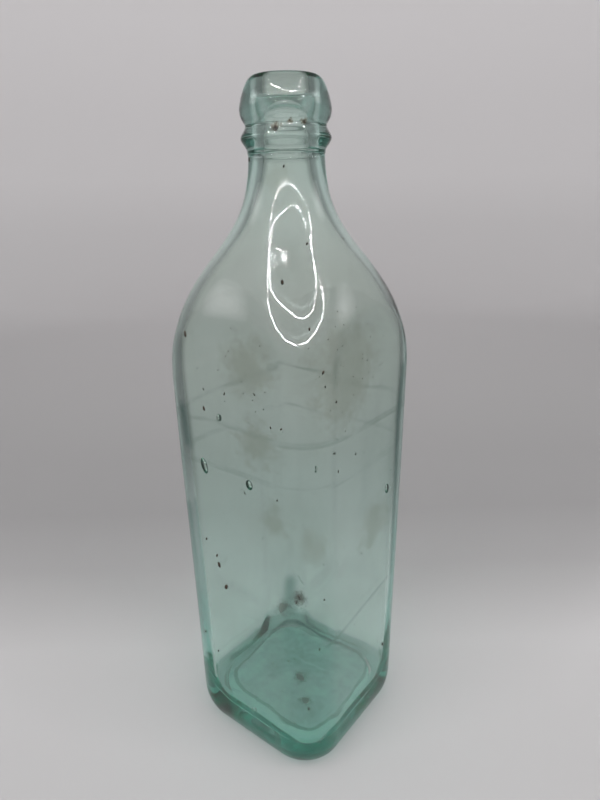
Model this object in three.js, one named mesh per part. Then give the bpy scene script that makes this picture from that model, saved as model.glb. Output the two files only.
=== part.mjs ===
// Hand-blown square glass bottle with a tooled blob-and-ring finish.
// Millimetres, +Z up. The origin is the centre of the base, on the plane that the bottle stands on.
// The four flat sides face along X and Y.
import * as THREE from 'three';

// Driving dimensions of the square body, blown in a mould that widens a little upwards
const baseSide = 68.3;
const shoulderSide = 72.1;
const cornerRadius = 15.6;
const sideWall = 3.6;

// Heel, the rounded edge between the sides and the underside
const heelInset = 8;
const heelHeight = 13;

// Underside: a flat ring of glass to stand on, round one smooth hollow that is pushed up
const hollowSide = 45;
const hollowCornerRadius = 13;
const hollowHeight = 4;

// Floor inside the bottle, thick as such bottles have it. The sides thicken towards it from
// high up, and the corners only near it.
const floorHeight = 12.5;
const floorDome = 0.7;
const sideFilletWidth = 6.6;
const sideFilletHeight = 25;
const cornerFilletWidth = 8.5;
const cornerFilletHeight = 13;

// Shoulder: one smooth sweep from the square body to the round neck. The pulls say how far
// the sweep keeps its first and its last direction.
const shoulderStart = 158;
const shoulderStartRadius = 45.1;
const shoulderLean = 0.12;
const shoulderPull = 42;
const neckPull = 33;
const archSoftness = 2;

// How round the shoulder's sections are, as the share of a section's reach that its corners'
// radius takes up: even over the lower shoulder, and then growing to a full circle at the neck
const shoulderRoundness = 0.62;
const roundingStart = 0.4;
const roundingEnd = 0.95;

// Neck, its bore, and the end of the neck that the lip is laid round
const neckRadius = 13.1;
const boreRadius = 7.6;
const neckEndRadius = 11.4;
const neckEndTaper = 0.8;
const neckEndLength = 16;
const neckEndRound = 1;

// Lip: a second gather of glass, tooled into a ring below and a blob above
const overallHeight = 255;
const lipHeight = 23.65;
const footRadius = 13.3;
const footHeight = 0.9;
const ringRadius = 15.35;
const ringHeight = 5;
const ringSharpness = 0.33;
const grooveRadius = 13.7;
const grooveHeight = 8.9;
const grooveSoftness = 0.37;
const blobRadius = 15.4;
const blobHeight = 13.9;
const blobUndercut = 0.67;
const blobUpperPull = 0.15;
const blobCrownPull = 0.56;
const landOuterRadius = 10.7;
const landInnerRadius = 9.2;
const mouthDepth = 3.2;

// The gap between the lip and the neck that it is laid on
const seatClearance = 0.3;

// How finely the curves are divided
const bodyDivisions = 56;
const lipDivisions = 48;
const hollowSteps = 5;
const heelSteps = 5;
const filletSteps = 8;
const sideSteps = 3;
const shoulderSteps = 15;
const curveSteps = 5;

const lipBottom = overallHeight - lipHeight;
const neckTop = lipBottom + neckEndLength;

// Distance from the axis to a rounded square, in the direction of an angle
function squareRadius(angle, half, corner) {
  const quarter = Math.PI / 2;
  const turned = Math.abs(angle - quarter * Math.round(angle / quarter));
  const centre = half - corner;
  const flat = half / Math.cos(turned);
  if (flat * Math.sin(turned) <= centre) return flat;
  const along = centre * (Math.cos(turned) + Math.sin(turned));
  return along + Math.sqrt(Math.max(along * along - 2 * centre * centre + corner * corner, 0));
}

// The smaller of two radii, with the crease between them rounded off
function softMin(a, b, softness) {
  const near = Math.max(softness - Math.abs(a - b), 0) / softness;
  return Math.min(a, b) - (near * near * softness) / 4;
}

// Half the side of a rounded square that reaches so far out at its corners
function halfFromReach(reach, corner) {
  return (reach - corner) / Math.SQRT2 + corner;
}

// Radius of a corner that keeps both a reach and half a side
function cornerFromReach(reach, half) {
  return (half * Math.SQRT2 - reach) / (Math.SQRT2 - 1);
}

// One level of the body: a rounded square, cut back to the shoulder's own section where it has one
function level(z, half, corner, shoulder = null) {
  return { z, half, corner, shoulder };
}

function levelPoints({ z, half, corner, shoulder }) {
  return Array.from({ length: bodyDivisions }, (_, i) => {
    const angle = (i / bodyDivisions) * 2 * Math.PI;
    let radius = squareRadius(angle, half, corner);
    if (shoulder) {
      const shoulderCorner = shoulder.reach * shoulder.roundness;
      const shoulderHalf = halfFromReach(shoulder.reach, shoulderCorner);
      radius = softMin(radius, squareRadius(angle, shoulderHalf, shoulderCorner), archSoftness);
    }
    return [radius * Math.cos(angle), radius * Math.sin(angle), z];
  });
}

// Half the outer side at a height: the sides lean out evenly up to the shoulder
function outerHalf(z) {
  const share = Math.min(z / shoulderStart, 1);
  return (baseSide + (shoulderSide - baseSide) * share) / 2;
}

// Outer line of the shoulder, as radius and height
const shoulderLine = new THREE.CubicBezierCurve(
  new THREE.Vector2(shoulderStartRadius, shoulderStart),
  new THREE.Vector2(shoulderStartRadius - shoulderLean * shoulderPull, shoulderStart + shoulderPull),
  new THREE.Vector2(neckRadius, lipBottom - neckPull),
  new THREE.Vector2(neckRadius, lipBottom),
);

// Inner line of the shoulder: the outer one set in by a wall that grows to the neck's
function innerShoulderPoint(t) {
  const point = shoulderLine.getPoint(t);
  const tangent = shoulderLine.getTangent(t);
  const wall = THREE.MathUtils.lerp(sideWall, neckRadius - boreRadius, t);
  return new THREE.Vector2(point.x - tangent.y * wall, point.y + tangent.x * wall);
}

// The shoulder's section at a share of its line, as its reach and how round it is
function shoulderSection(reach, t) {
  const rounding = THREE.MathUtils.smoothstep(t, roundingStart, roundingEnd);
  return { reach, roundness: THREE.MathUtils.lerp(shoulderRoundness, 1, rounding) };
}

function undersideLevels() {
  const levels = [];
  for (let i = 1; i <= hollowSteps; i += 1) {
    const share = i / hollowSteps;
    const z = hollowHeight * (1 - share * share) ** 2;
    levels.push(level(z, (hollowSide / 2) * share, hollowCornerRadius * share));
  }
  return levels;
}

function outsideLevels() {
  const levels = [];
  for (let i = 0; i <= heelSteps; i += 1) {
    const turn = (i / heelSteps) * (Math.PI / 2);
    const z = heelHeight * (1 - Math.cos(turn));
    const inset = heelInset * (1 - Math.sin(turn));
    levels.push(level(z, outerHalf(z) - inset, cornerRadius - inset));
  }
  for (let i = 1; i <= sideSteps; i += 1) {
    const z = THREE.MathUtils.lerp(heelHeight, shoulderStart, i / (sideSteps + 1));
    levels.push(level(z, outerHalf(z), cornerRadius));
  }
  for (let i = 0; i <= shoulderSteps; i += 1) {
    const t = i / shoulderSteps;
    const point = shoulderLine.getPoint(t);
    levels.push(level(point.y, outerHalf(point.y), cornerRadius, shoulderSection(point.x, t)));
  }
  return levels;
}

// A round level has the corner radius of a full circle
function roundLevel(z, radius) {
  return level(z, radius, radius);
}

function neckEndLevels() {
  const topRadius = neckEndRadius - neckEndTaper;
  return [
    roundLevel(lipBottom, neckEndRadius),
    roundLevel(neckTop - neckEndRound, topRadius),
    roundLevel(neckTop, topRadius - neckEndRound),
    roundLevel(neckTop, boreRadius + neckEndRound / 2),
    roundLevel(neckTop - neckEndRound / 2, boreRadius),
  ];
}

function filletLevels() {
  const levels = [];
  for (let i = 0; i <= filletSteps; i += 1) {
    const turn = (i / filletSteps) * (Math.PI / 2);
    const rise = sideFilletHeight * (1 - Math.sin(turn));
    const z = floorHeight + rise;
    const wallHalf = outerHalf(z) - sideWall;
    const wallReach = wallHalf * Math.SQRT2 - (Math.SQRT2 - 1) * (cornerRadius - sideWall);
    const above = Math.min(rise / cornerFilletHeight, 1);
    const reach = wallReach - cornerFilletWidth * (1 - Math.sqrt(1 - (1 - above) ** 2));
    const half = wallHalf - sideFilletWidth * (1 - Math.cos(turn));
    levels.push(level(z, half, cornerFromReach(reach, half)));
  }
  return levels;
}

function insideLevels() {
  const levels = [];
  for (let i = shoulderSteps; i >= 0; i -= 1) {
    const t = i / shoulderSteps;
    const point = innerShoulderPoint(t);
    const half = outerHalf(point.y) - sideWall;
    levels.push(level(point.y, half, cornerRadius - sideWall, shoulderSection(point.x, t)));
  }
  const filletTop = floorHeight + sideFilletHeight;
  for (let i = sideSteps; i >= 1; i -= 1) {
    const z = THREE.MathUtils.lerp(filletTop, shoulderStart, i / (sideSteps + 1));
    levels.push(level(z, outerHalf(z) - sideWall, cornerRadius - sideWall));
  }
  levels.push(...filletLevels());
  const edge = levels.at(-1);
  levels.push(level(floorHeight + floorDome * 0.75, edge.half / 2, edge.corner / 2));
  return levels;
}

// Joins the levels, in order, into one closed skin that starts and ends in a point on the axis
function skin(levels, startHeight, endHeight) {
  const count = bodyDivisions;
  const rings = levels.map(levelPoints);
  const positions = rings.flat(2);
  const index = [];
  for (let j = 0; j + 1 < rings.length; j += 1) {
    for (let i = 0; i < count; i += 1) {
      const next = (i + 1) % count;
      const [a, b] = [j * count + i, j * count + next];
      const [c, d] = [b + count, a + count];
      index.push(a, b, c, a, c, d);
    }
  }
  const start = rings.length * count;
  const last = start - count;
  positions.push(0, 0, startHeight, 0, 0, endHeight);
  for (let i = 0; i < count; i += 1) {
    const next = (i + 1) % count;
    index.push(start, next, i, last + i, last + next, start + 1);
  }
  const geometry = new THREE.BufferGeometry();
  geometry.setAttribute('position', new THREE.Float32BufferAttribute(positions, 3));
  geometry.setIndex(index);
  geometry.computeVertexNormals();
  return geometry;
}

function bottleBodyGeometry() {
  const levels = [...undersideLevels(), ...outsideLevels(), ...neckEndLevels(), ...insideLevels()];
  return skin(levels, hollowHeight, floorHeight + floorDome);
}

// Section of the lip, closed on itself: up the outside, over the rim, down the bore and the socket
function lipSection() {
  const { lerp } = THREE.MathUtils;
  const bottom = lipBottom + seatClearance;
  const foot = lipBottom + footHeight;
  const ring = lipBottom + ringHeight;
  const groove = lipBottom + grooveHeight;
  const blob = lipBottom + blobHeight;
  const socketTop = neckTop + seatClearance;
  const socketTopRadius = neckEndRadius - neckEndTaper + seatClearance;
  const section = new THREE.Path();
  section.moveTo(neckEndRadius + seatClearance, bottom);
  section.lineTo(neckRadius, bottom);
  section.lineTo(footRadius, foot);
  section.bezierCurveTo(
    footRadius, lerp(foot, ring, ringSharpness),
    ringRadius, lerp(ring, foot, ringSharpness), ringRadius, ring,
  );
  section.bezierCurveTo(
    ringRadius, lerp(ring, groove, ringSharpness),
    grooveRadius, lerp(groove, ring, grooveSoftness), grooveRadius, groove,
  );
  section.bezierCurveTo(
    grooveRadius, lerp(groove, blob, grooveSoftness / 2),
    blobRadius, lerp(blob, groove, blobUndercut), blobRadius, blob,
  );
  section.bezierCurveTo(
    blobRadius, lerp(blob, overallHeight, blobUpperPull),
    lerp(landOuterRadius, blobRadius, blobCrownPull), overallHeight,
    landOuterRadius, overallHeight,
  );
  section.lineTo(landInnerRadius, overallHeight);
  section.quadraticCurveTo(boreRadius, overallHeight, boreRadius, overallHeight - mouthDepth);
  section.lineTo(boreRadius, socketTop);
  section.lineTo(socketTopRadius, socketTop);
  section.closePath();
  return section.getPoints(curveSteps);
}

function appliedLipGeometry() {
  const geometry = new THREE.LatheGeometry(lipSection(), lipDivisions);
  geometry.rotateX(Math.PI / 2);
  return geometry;
}

function glass(color) {
  return new THREE.MeshStandardMaterial({
    color, roughness: 0.08, metalness: 0, transparent: true, opacity: 0.45,
  });
}

function piece(name, geometry, material) {
  const mesh = new THREE.Mesh(geometry, material);
  mesh.name = name;
  return mesh;
}

const bottle = new THREE.Group();
bottle.add(piece('bottle_body', bottleBodyGeometry(), glass(0x9fbdb2)));
bottle.add(piece('applied_lip', appliedLipGeometry(), glass(0x8fb0a5)));

export default bottle;
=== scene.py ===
import math
import random
import bpy
from mathutils import Matrix, Vector


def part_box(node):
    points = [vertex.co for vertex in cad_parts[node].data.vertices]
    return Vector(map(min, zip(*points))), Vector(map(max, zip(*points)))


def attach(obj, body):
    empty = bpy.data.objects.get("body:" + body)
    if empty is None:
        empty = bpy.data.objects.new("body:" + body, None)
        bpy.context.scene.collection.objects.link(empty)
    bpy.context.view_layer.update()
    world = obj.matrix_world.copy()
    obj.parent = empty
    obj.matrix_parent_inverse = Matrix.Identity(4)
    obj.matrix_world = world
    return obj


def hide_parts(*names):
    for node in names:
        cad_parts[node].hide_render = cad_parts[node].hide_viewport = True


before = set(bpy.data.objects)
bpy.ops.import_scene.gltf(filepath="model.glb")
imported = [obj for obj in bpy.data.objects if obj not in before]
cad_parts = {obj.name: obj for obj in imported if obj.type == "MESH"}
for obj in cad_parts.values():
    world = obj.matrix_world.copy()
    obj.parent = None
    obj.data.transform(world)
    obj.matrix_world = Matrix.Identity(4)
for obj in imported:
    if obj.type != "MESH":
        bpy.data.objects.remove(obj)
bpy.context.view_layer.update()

# The frame gives the sizes that the glass has to keep, in metres
bodyLow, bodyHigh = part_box("bottle_body")
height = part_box("applied_lip")[1].z
shoulderSide = bodyHigh.x - bodyLow.x

# Square body and heel
body = {
    "baseSide": 0.0683,
    "cornerRadius": 0.0156,
    "wall": 0.0036,
    "heelInset": 0.0055,
    "heelHeight": 0.013,
    "heelCorner": 0.015,
    "cornerExtra": 0.0025,
    "cornerExtraTop": 0.150,
    "hollowSide": 0.045,
    "hollowCorner": 0.013,
    "hollowHeight": 0.003,
    "hollowWavy": 0.3,
    "floorHeight": 0.0125,
    "floorDome": 0.0007,
    "filletWidth": 0.0028,
    "filletHeight": 0.006,
    "cornerFilletWidth": 0.0075,
    "cornerFilletHeight": 0.012,
    "frontBulge": 0.0075,
    "frontCorner": 1.75 * math.pi,
    "frontSpread": 0.30,
    "creaseHalf": 0.0253,
    "creaseCorner": 0.010,
    "creaseWidth": 0.0022,
    "creaseDepth": 0.0005,
    "creaseWaver": 0.0003,
    "creaseWaves": [(5, 1, 1.0), (11, 2, 0.8), (19, 0, 0.5)],  # waves all round, phase and share
}

# Shoulder and neck, as one sweep from square to round
shoulder = {
    "start": 0.158,
    "startRadius": 0.0451,
    "lean": 0.12,
    "pull": 0.042,  # how far the curve keeps its direction, from the sides and from the neck
    "neckPull": 0.033,
    "softness": 0.0014,
    "squareness": 3.0,
    "neckRadius": 0.0131,
    "boreRadius": 0.0076,
    "thinWall": 0.0022,
    "innerWavy": 0.5,
}

# Tooled lip: a ring below and a blob above
lip = {
    "height": 0.02365,
    "footRadius": 0.0133,
    "foot": 0.0009,
    "ringRadius": 0.01535,
    "ringHeight": 0.0050,
    "ringSharp": 0.33,
    "grooveRadius": 0.0137,
    "grooveHeight": 0.0089,
    "grooveSoft": 0.37,
    "blobRadius": 0.0154,
    "blobHeight": 0.0139,
    "blobLow": 0.67,
    "blobUp": 0.15,
    "blobTop": 0.56,
    "landOuter": 0.0107,
    "landInner": 0.0092,
    "mouthDepth": 0.0032,
    "seatRadius": 0.0114,
    "seatTaper": 0.0008,
    "seatLength": 0.016,
    "seatGap": 0.0003,
    "hairline": 0.00002,
    "wavy": 0.35,
}

# How finely the skin is divided
mesh = {
    "around": 240,
    "sideStep": 0.0022,
    "hollowSteps": 40,
    "curveSteps": 16,
    "shoulderSteps": 56,
    "lipStraightSteps": 3,
    "filletSteps": 24,
    "ledgeSteps": 5,
    "creaseSteps": 8,
    "floorSteps": 10,
}

lipBottom = height - lip["height"]
seatTop = lipBottom + lip["seatLength"]


def mix(a, b, share):
    return a + (b - a) * share


def squareRadius(angle, half, corner):
    # distance from the axis to a rounded square, in the direction of an angle
    quarter = math.pi / 2
    turned = abs(angle - quarter * round(angle / quarter))
    centre = half - corner
    flat = half / math.cos(turned)
    if flat * math.sin(turned) <= centre:
        return flat
    along = centre * (math.cos(turned) + math.sin(turned))
    return along + math.sqrt(max(along * along - 2 * centre * centre + corner * corner, 0))


def smooth(share):
    # from 0 to 1 with soft ends
    share = min(max(share, 0), 1)
    return share * share * (3 - 2 * share)


def softMin(a, b, softness):
    # the smaller of two sizes, with a rounded change from one to the other
    near = max(softness - abs(a - b), 0) / softness
    return min(a, b) - near * near * softness / 4


def bezier(points, t):
    # de Casteljau, for any number of control points
    points = [Vector(p) for p in points]
    while len(points) > 1:
        points = [a.lerp(b, t) for a, b in zip(points, points[1:])]
    return points[0]


def outerHalf(z):
    share = min(z / shoulder["start"], 1)
    return mix(body["baseSide"], shoulderSide, share) / 2


def innerCorner(z):
    # the wall is a little thicker at the corners, most of all near the base
    extra = body["cornerExtra"] * smooth(1 - z / body["cornerExtraTop"])
    return body["cornerRadius"] - body["wall"] + extra


def level(z, half, corner, limit=None, wavy=1.0, waver=0.0, bulge=0.0):
    # one ring of the skin: a rounded square, which the shoulder's section limits
    return {
        "z": z, "half": half, "corner": corner, "limit": limit,
        "wavy": wavy, "waver": waver, "bulge": bulge,
    }


def roundLevel(z, radius, wavy=1.0):
    return level(z, radius, radius, None, wavy)


def undersideLevels():
    # pushed up in one smooth hollow inside the ring that the bottle stands on
    half = body["hollowSide"] / 2
    levels = []
    for i in range(1, mesh["hollowSteps"] + 1):
        share = i / mesh["hollowSteps"]
        z = body["hollowHeight"] * smooth(1 - share)
        corner = body["hollowCorner"] * share
        levels.append(level(z, half * share, corner, wavy=body["hollowWavy"]))
    return levels


def outsideLevels():
    levels = []
    steps = mesh["curveSteps"]
    for i in range(steps + 1):
        turn = i / steps * math.pi / 2
        z = body["heelHeight"] * (1 - math.cos(turn))
        inset = body["heelInset"] * (1 - math.sin(turn))
        corner = mix(body["cornerRadius"], body["heelCorner"], 1 - math.sin(turn))
        levels.append(level(z, outerHalf(z) - inset, corner, wavy=i / steps))
    count = round((shoulder["start"] - body["heelHeight"]) / mesh["sideStep"])
    for i in range(1, count):
        z = mix(body["heelHeight"], shoulder["start"], i / count)
        levels.append(level(z, outerHalf(z), body["cornerRadius"]))
    for i in range(mesh["shoulderSteps"] + 1):
        share = i / mesh["shoulderSteps"]
        point = bezier(shoulderLine, share)
        section = shoulderSection(point.x, share)
        levels.append(level(point.y, outerHalf(point.y), body["cornerRadius"], section, wavy=0.0))
    return levels


# Outer line of the shoulder, as radius and height
shoulderLine = [
    (shoulder["startRadius"], shoulder["start"]),
    (shoulder["startRadius"] - shoulder["lean"] * shoulder["pull"],
     shoulder["start"] + shoulder["pull"]),
    (shoulder["neckRadius"], lipBottom - shoulder["neckPull"]),
    (shoulder["neckRadius"], lipBottom),
]


def shoulderSection(reach, share):
    # squarish over the lower shoulder, a circle at the neck
    return {"reach": reach, "power": mix(shoulder["squareness"], 2, smooth(share))}


def sectionRadius(angle, section):
    # a superellipse, measured from its reach at the corners
    power = section["power"]
    total = abs(math.cos(angle)) ** power + abs(math.sin(angle)) ** power
    return section["reach"] * 2 ** (1 / power - 0.5) * total ** (-1 / power)


def innerShoulderPoint(t):
    point = bezier(shoulderLine, t)
    step = 0.001
    before, after = bezier(shoulderLine, max(t - step, 0)), bezier(shoulderLine, min(t + step, 1))
    tangent = (after - before).normalized()
    # the glass is thinnest where it was blown out furthest
    thin = shoulder["thinWall"]
    neckWall = shoulder["neckRadius"] - shoulder["boreRadius"]
    wall = bezier([(body["wall"], 0), (thin, 0), (thin, 0), (neckWall, 0)], t).x
    return Vector((point.x - tangent.y * wall, point.y + tangent.x * wall))


def lipCurves():
    low = lipBottom + lip["hairline"]
    foot, ring = lipBottom + lip["foot"], lipBottom + lip["ringHeight"]
    groove, blob = lipBottom + lip["grooveHeight"], lipBottom + lip["blobHeight"]
    neck, bore, land = shoulder["neckRadius"], shoulder["boreRadius"], lip["landOuter"]
    ringSide, grooveSide, blobSide = lip["ringRadius"], lip["grooveRadius"], lip["blobRadius"]
    sharp, soft = lip["ringSharp"], lip["grooveSoft"]
    return [
        [(neck, low), (lip["footRadius"], low), (lip["footRadius"], foot)],
        [(lip["footRadius"], foot), (lip["footRadius"], mix(foot, ring, sharp)),
         (ringSide, mix(ring, foot, sharp)), (ringSide, ring)],
        [(ringSide, ring), (ringSide, mix(ring, groove, sharp)),
         (grooveSide, mix(groove, ring, soft)), (grooveSide, groove)],
        [(grooveSide, groove), (grooveSide, mix(groove, blob, soft / 2)),
         (blobSide, mix(blob, groove, lip["blobLow"])), (blobSide, blob)],
        [(blobSide, blob), (blobSide, mix(blob, height, lip["blobUp"])),
         (mix(land, blobSide, lip["blobTop"]), height), (land, height)],
        [(land, height), (lip["landInner"], height)],
        [(lip["landInner"], height), (bore, height), (bore, height - lip["mouthDepth"])],
        [(bore, height - lip["mouthDepth"]), (bore, seatTop + lip["hairline"])],
    ]


def lipLevels():
    levels = [roundLevel(lipBottom + lip["hairline"], shoulder["neckRadius"])]
    for curve in lipCurves():
        steps = mesh["lipStraightSteps"] if len(curve) == 2 else mesh["curveSteps"]
        for i in range(1, steps + 1):
            point = bezier(curve, i / steps)
            levels.append(roundLevel(point.y, point.x, lip["wavy"]))
    return levels


def socketLevels():
    # the socket in the lip, which the neck's end fills: fused glass, so nothing shows there
    gap, hairline = lip["seatGap"], lip["hairline"]
    top = lip["seatRadius"] - lip["seatTaper"]
    return [
        roundLevel(seatTop + hairline, top + gap, 0),
        roundLevel(lipBottom + hairline, lip["seatRadius"] + gap, 0),
    ]


def neckEndLevels():
    # the tapered end of the neck, and the level step that the lip sits on
    top = lip["seatRadius"] - lip["seatTaper"]
    return [
        roundLevel(lipBottom, lip["seatRadius"], 0),
        roundLevel(seatTop, top, 0),
        roundLevel(seatTop, shoulder["boreRadius"], 0),
    ]


def filletLevels():
    # the wall runs into the floor in a small fillet, wider at the corners and most of all in front
    levels = []
    steps = mesh["filletSteps"]
    for i in range(steps + 1):
        turn = i / steps * math.pi / 2
        rise = body["filletHeight"] * (1 - math.sin(turn))
        z = body["floorHeight"] + rise
        half = outerHalf(z) - body["wall"]
        diagonal = half * math.sqrt(2) - (math.sqrt(2) - 1) * innerCorner(z)
        share = min(rise / body["cornerFilletHeight"], 1)
        diagonal -= body["cornerFilletWidth"] * (1 - math.sqrt(1 - (1 - share) ** 2))
        half -= body["filletWidth"] * (1 - math.cos(turn))
        corner = (half * math.sqrt(2) - diagonal) / (math.sqrt(2) - 1)
        bulge = body["frontBulge"] * (1 - math.sqrt(1 - (1 - share) ** 2))
        levels.append(level(z, half, corner, bulge=bulge))
    return levels


def insideLevels():
    levels = []
    for i in range(mesh["shoulderSteps"], -1, -1):
        share = i / mesh["shoulderSteps"]
        point = innerShoulderPoint(share)
        section = shoulderSection(point.x, share)
        half = outerHalf(point.y) - body["wall"]
        levels.append(level(point.y, half, innerCorner(point.y), section, shoulder["innerWavy"]))
    top = body["floorHeight"] + body["filletHeight"]
    count = round((shoulder["start"] - top) / mesh["sideStep"])
    for i in range(count - 1, 0, -1):
        z = mix(top, shoulder["start"], i / count)
        levels.append(level(z, outerHalf(z) - body["wall"], innerCorner(z)))
    levels += filletLevels()
    edge = levels[-1]
    floor, half, corner = body["floorHeight"], body["creaseHalf"], body["creaseCorner"]
    waver = body["creaseWaver"]
    for i in range(1, mesh["ledgeSteps"] + 1):
        # a level ledge along the wall
        share = i / mesh["ledgeSteps"]
        ledgeHalf, ledgeCorner = mix(edge["half"], half, share), mix(edge["corner"], corner, share)
        bulge = body["frontBulge"] * (1 - share)
        levels.append(level(floor, ledgeHalf, ledgeCorner, waver=waver * share, bulge=bulge))
    for i in range(1, mesh["creaseSteps"] + 1):
        # the shallow wavering crease round the floor
        inset = body["creaseWidth"] * i / mesh["creaseSteps"]
        z = floor - body["creaseDepth"] * math.sin(i / mesh["creaseSteps"] * math.pi) ** 2
        levels.append(level(z, half - inset, corner - inset, waver=waver))
    half -= body["creaseWidth"]
    corner -= body["creaseWidth"]
    for i in range(1, mesh["floorSteps"]):
        share = 1 - i / mesh["floorSteps"]
        z = floor + body["floorDome"] * (1 - share * share)
        levels.append(level(z, half * share, corner * share, waver=waver * share))
    return levels


def ringPoints(at):
    points = []
    for i in range(mesh["around"]):
        angle = i / mesh["around"] * 2 * math.pi
        radius = squareRadius(angle, at["half"], at["corner"])
        if at["limit"] is not None:
            radius = softMin(radius, sectionRadius(angle, at["limit"]), shoulder["softness"])
        waves = [share * math.sin(count * angle + phase) for count, phase, share in body["creaseWaves"]]
        radius += at["waver"] * sum(waves)
        fromFront = (angle - body["frontCorner"]) / body["frontSpread"]
        radius += at["bulge"] * math.exp(-fromFront * fromFront)
        points.append((radius * math.cos(angle), radius * math.sin(angle), at["z"]))
    return points


# The larger bubbles in the wall: place of the middle, half sizes and turn
bubbles = [
    {"place": (-0.0141, -0.0338, 0.1247), "size": (0.00155, 0.00125, 0.0031), "turn": (0, -0.3, 0)},
    {"place": (0.0080, -0.0338, 0.1234), "size": (0.0015, 0.00125, 0.0019), "turn": (0, -0.25, 0)},
    {"place": (0.0337, 0.0142, 0.1096), "size": (0.0011, 0.0013, 0.0021), "turn": (0.1, 0, 0)},
    {"place": (0.0019, -0.0300, 0.0165), "size": (0.0012, 0.0011, 0.0012), "turn": (0, 0, 0)},
    {"place": (-0.0110, 0.0338, 0.0980), "size": (0.0008, 0.0008, 0.0019), "turn": (0, 0.2, 0)},
    {"place": (-0.0338, -0.0060, 0.1310), "size": (0.0009, 0.0010, 0.0017), "turn": (0.2, 0, 0)},
]


def skin(name, levels, seats, closed, seeds):
    # joins the levels into one closed skin; the faces that start at a seat level are marked
    count = mesh["around"]
    points, faces, wavy, seat = [], [], [], []
    for at in levels:
        points += ringPoints(at)
        wavy += [at["wavy"]] * count
    pairs = len(levels) if closed else len(levels) - 1
    for j in range(pairs):
        after = (j + 1) % len(levels) * count
        for i in range(count):
            a, b = i, (i + 1) % count
            faces.append((j * count + a, j * count + b, after + b, after + a))
        seat += [1.0 if j in seats else 0.0] * count
    if not closed:
        start, last = len(points), len(points) - count
        points += [(0, 0, body["hollowHeight"]), (0, 0, body["floorHeight"] + body["floorDome"])]
        wavy += [body["hollowWavy"], 1.0]
        for i in range(count):
            after = (i + 1) % count
            faces += [(start, after, i), (last + i, last + after, start + 1)]
        seat += [0.0] * (2 * count)
    firstSeed = len(points)
    points += [b["place"] for b in seeds]
    wavy += [0.0] * len(seeds)
    data = bpy.data.meshes.new(name)
    data.from_pydata(points, [], faces)
    addAttribute(data, "wavy", "POINT", wavy)
    addAttribute(data, "seat", "FACE", seat)
    addAttribute(data, "bubble", "POINT", [0.0] * firstSeed + [1.0] * len(seeds))
    addVectors(data, "bubbleSize", [(0, 0, 0)] * firstSeed + [b["size"] for b in seeds])
    addVectors(data, "bubbleTurn", [(0, 0, 0)] * firstSeed + [b["turn"] for b in seeds])
    print(name, "has", len(points), "points")
    return addObject(name, data)


def makeBody():
    below = undersideLevels() + outsideLevels()
    end = neckEndLevels()
    levels = below + end + insideLevels()
    seats = [len(below) - 1 + i for i in range(len(end))]
    return skin("blown_body", levels, seats, False, bubbles)


def makeLip():
    outside = lipLevels()
    levels = outside + socketLevels()
    seats = [len(outside) - 1, len(outside), len(outside) + 1]
    return skin("tooled_lip", levels, seats, True, [])


def addObject(name, data):
    thing = bpy.data.objects.new(name, data)
    bpy.context.scene.collection.objects.link(thing)
    return thing


def addAttribute(data, name, domain, values):
    attribute = data.attributes.new(name, "FLOAT", domain)
    attribute.data.foreach_set("value", values)


def addVectors(data, name, vectors):
    attribute = data.attributes.new(name, "FLOAT_VECTOR", "POINT")
    attribute.data.foreach_set("vector", [value for vector in vectors for value in vector])


# Helpers for node trees
def addNode(tree, kind, inputs=None, **settings):
    # each input is a plain value, or comes from a node or from a (node, socket) pair
    node = tree.nodes.new(kind)
    for key, value in settings.items():
        setattr(node, key, value)
    for key, value in (inputs or {}).items():
        if isinstance(value, bpy.types.Node):
            value = (value, 0)
        if isinstance(value, tuple) and isinstance(value[0], bpy.types.Node):
            tree.links.new(value[0].outputs[value[1]], node.inputs[key])
        else:
            node.inputs[key].default_value = value
    return node


def mathNode(tree, operation, *operands):
    return addNode(tree, "ShaderNodeMath", dict(enumerate(operands)), operation=operation)


def vectorNode(tree, operation, *operands):
    return addNode(tree, "ShaderNodeVectorMath", dict(enumerate(operands)), operation=operation)


def scaledVector(tree, vector, factor):
    return addNode(tree, "ShaderNodeVectorMath", {0: vector, "Scale": factor}, operation="SCALE")


def splitVector(tree, vector):
    return addNode(tree, "ShaderNodeSeparateXYZ", {0: vector})


def noiseNode(tree, vector, scale, detail, roughness=0.5):
    inputs = {"Vector": vector, "Scale": scale, "Detail": detail, "Roughness": roughness}
    return addNode(tree, "ShaderNodeTexNoise", inputs)


def centredNoise(tree, vector, scale, detail, roughness=0.5):
    return mathNode(tree, "SUBTRACT", noiseNode(tree, vector, scale, detail, roughness), 0.5)


def softStep(tree, source, low, high):
    # 0 at low and 1 at high, with soft ends
    inputs = {0: source, 1: low, 2: high}
    return addNode(tree, "ShaderNodeMapRange", inputs, interpolation_type="SMOOTHSTEP")


def rangeNode(tree, source, low, high, least=0.0, most=1.0):
    return addNode(tree, "ShaderNodeMapRange", {0: source, 1: low, 2: high, 3: least, 4: most})


def mixColours(tree, share, first, second, blend="MIX"):
    inputs = {0: share, 6: first, 7: second}
    return addNode(tree, "ShaderNodeMix", inputs, data_type="RGBA", blend_type=blend), 2


def rampNode(tree, source, stops):
    # colours at places from 0 to 1
    ramp = addNode(tree, "ShaderNodeValToRGB", {0: source})
    elements = ramp.color_ramp.elements
    while len(elements) < len(stops):
        elements.new(0.5)
    for element, (place, colour) in zip(elements, stops):
        element.position = place
        element.color = colour
    return ramp


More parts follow.
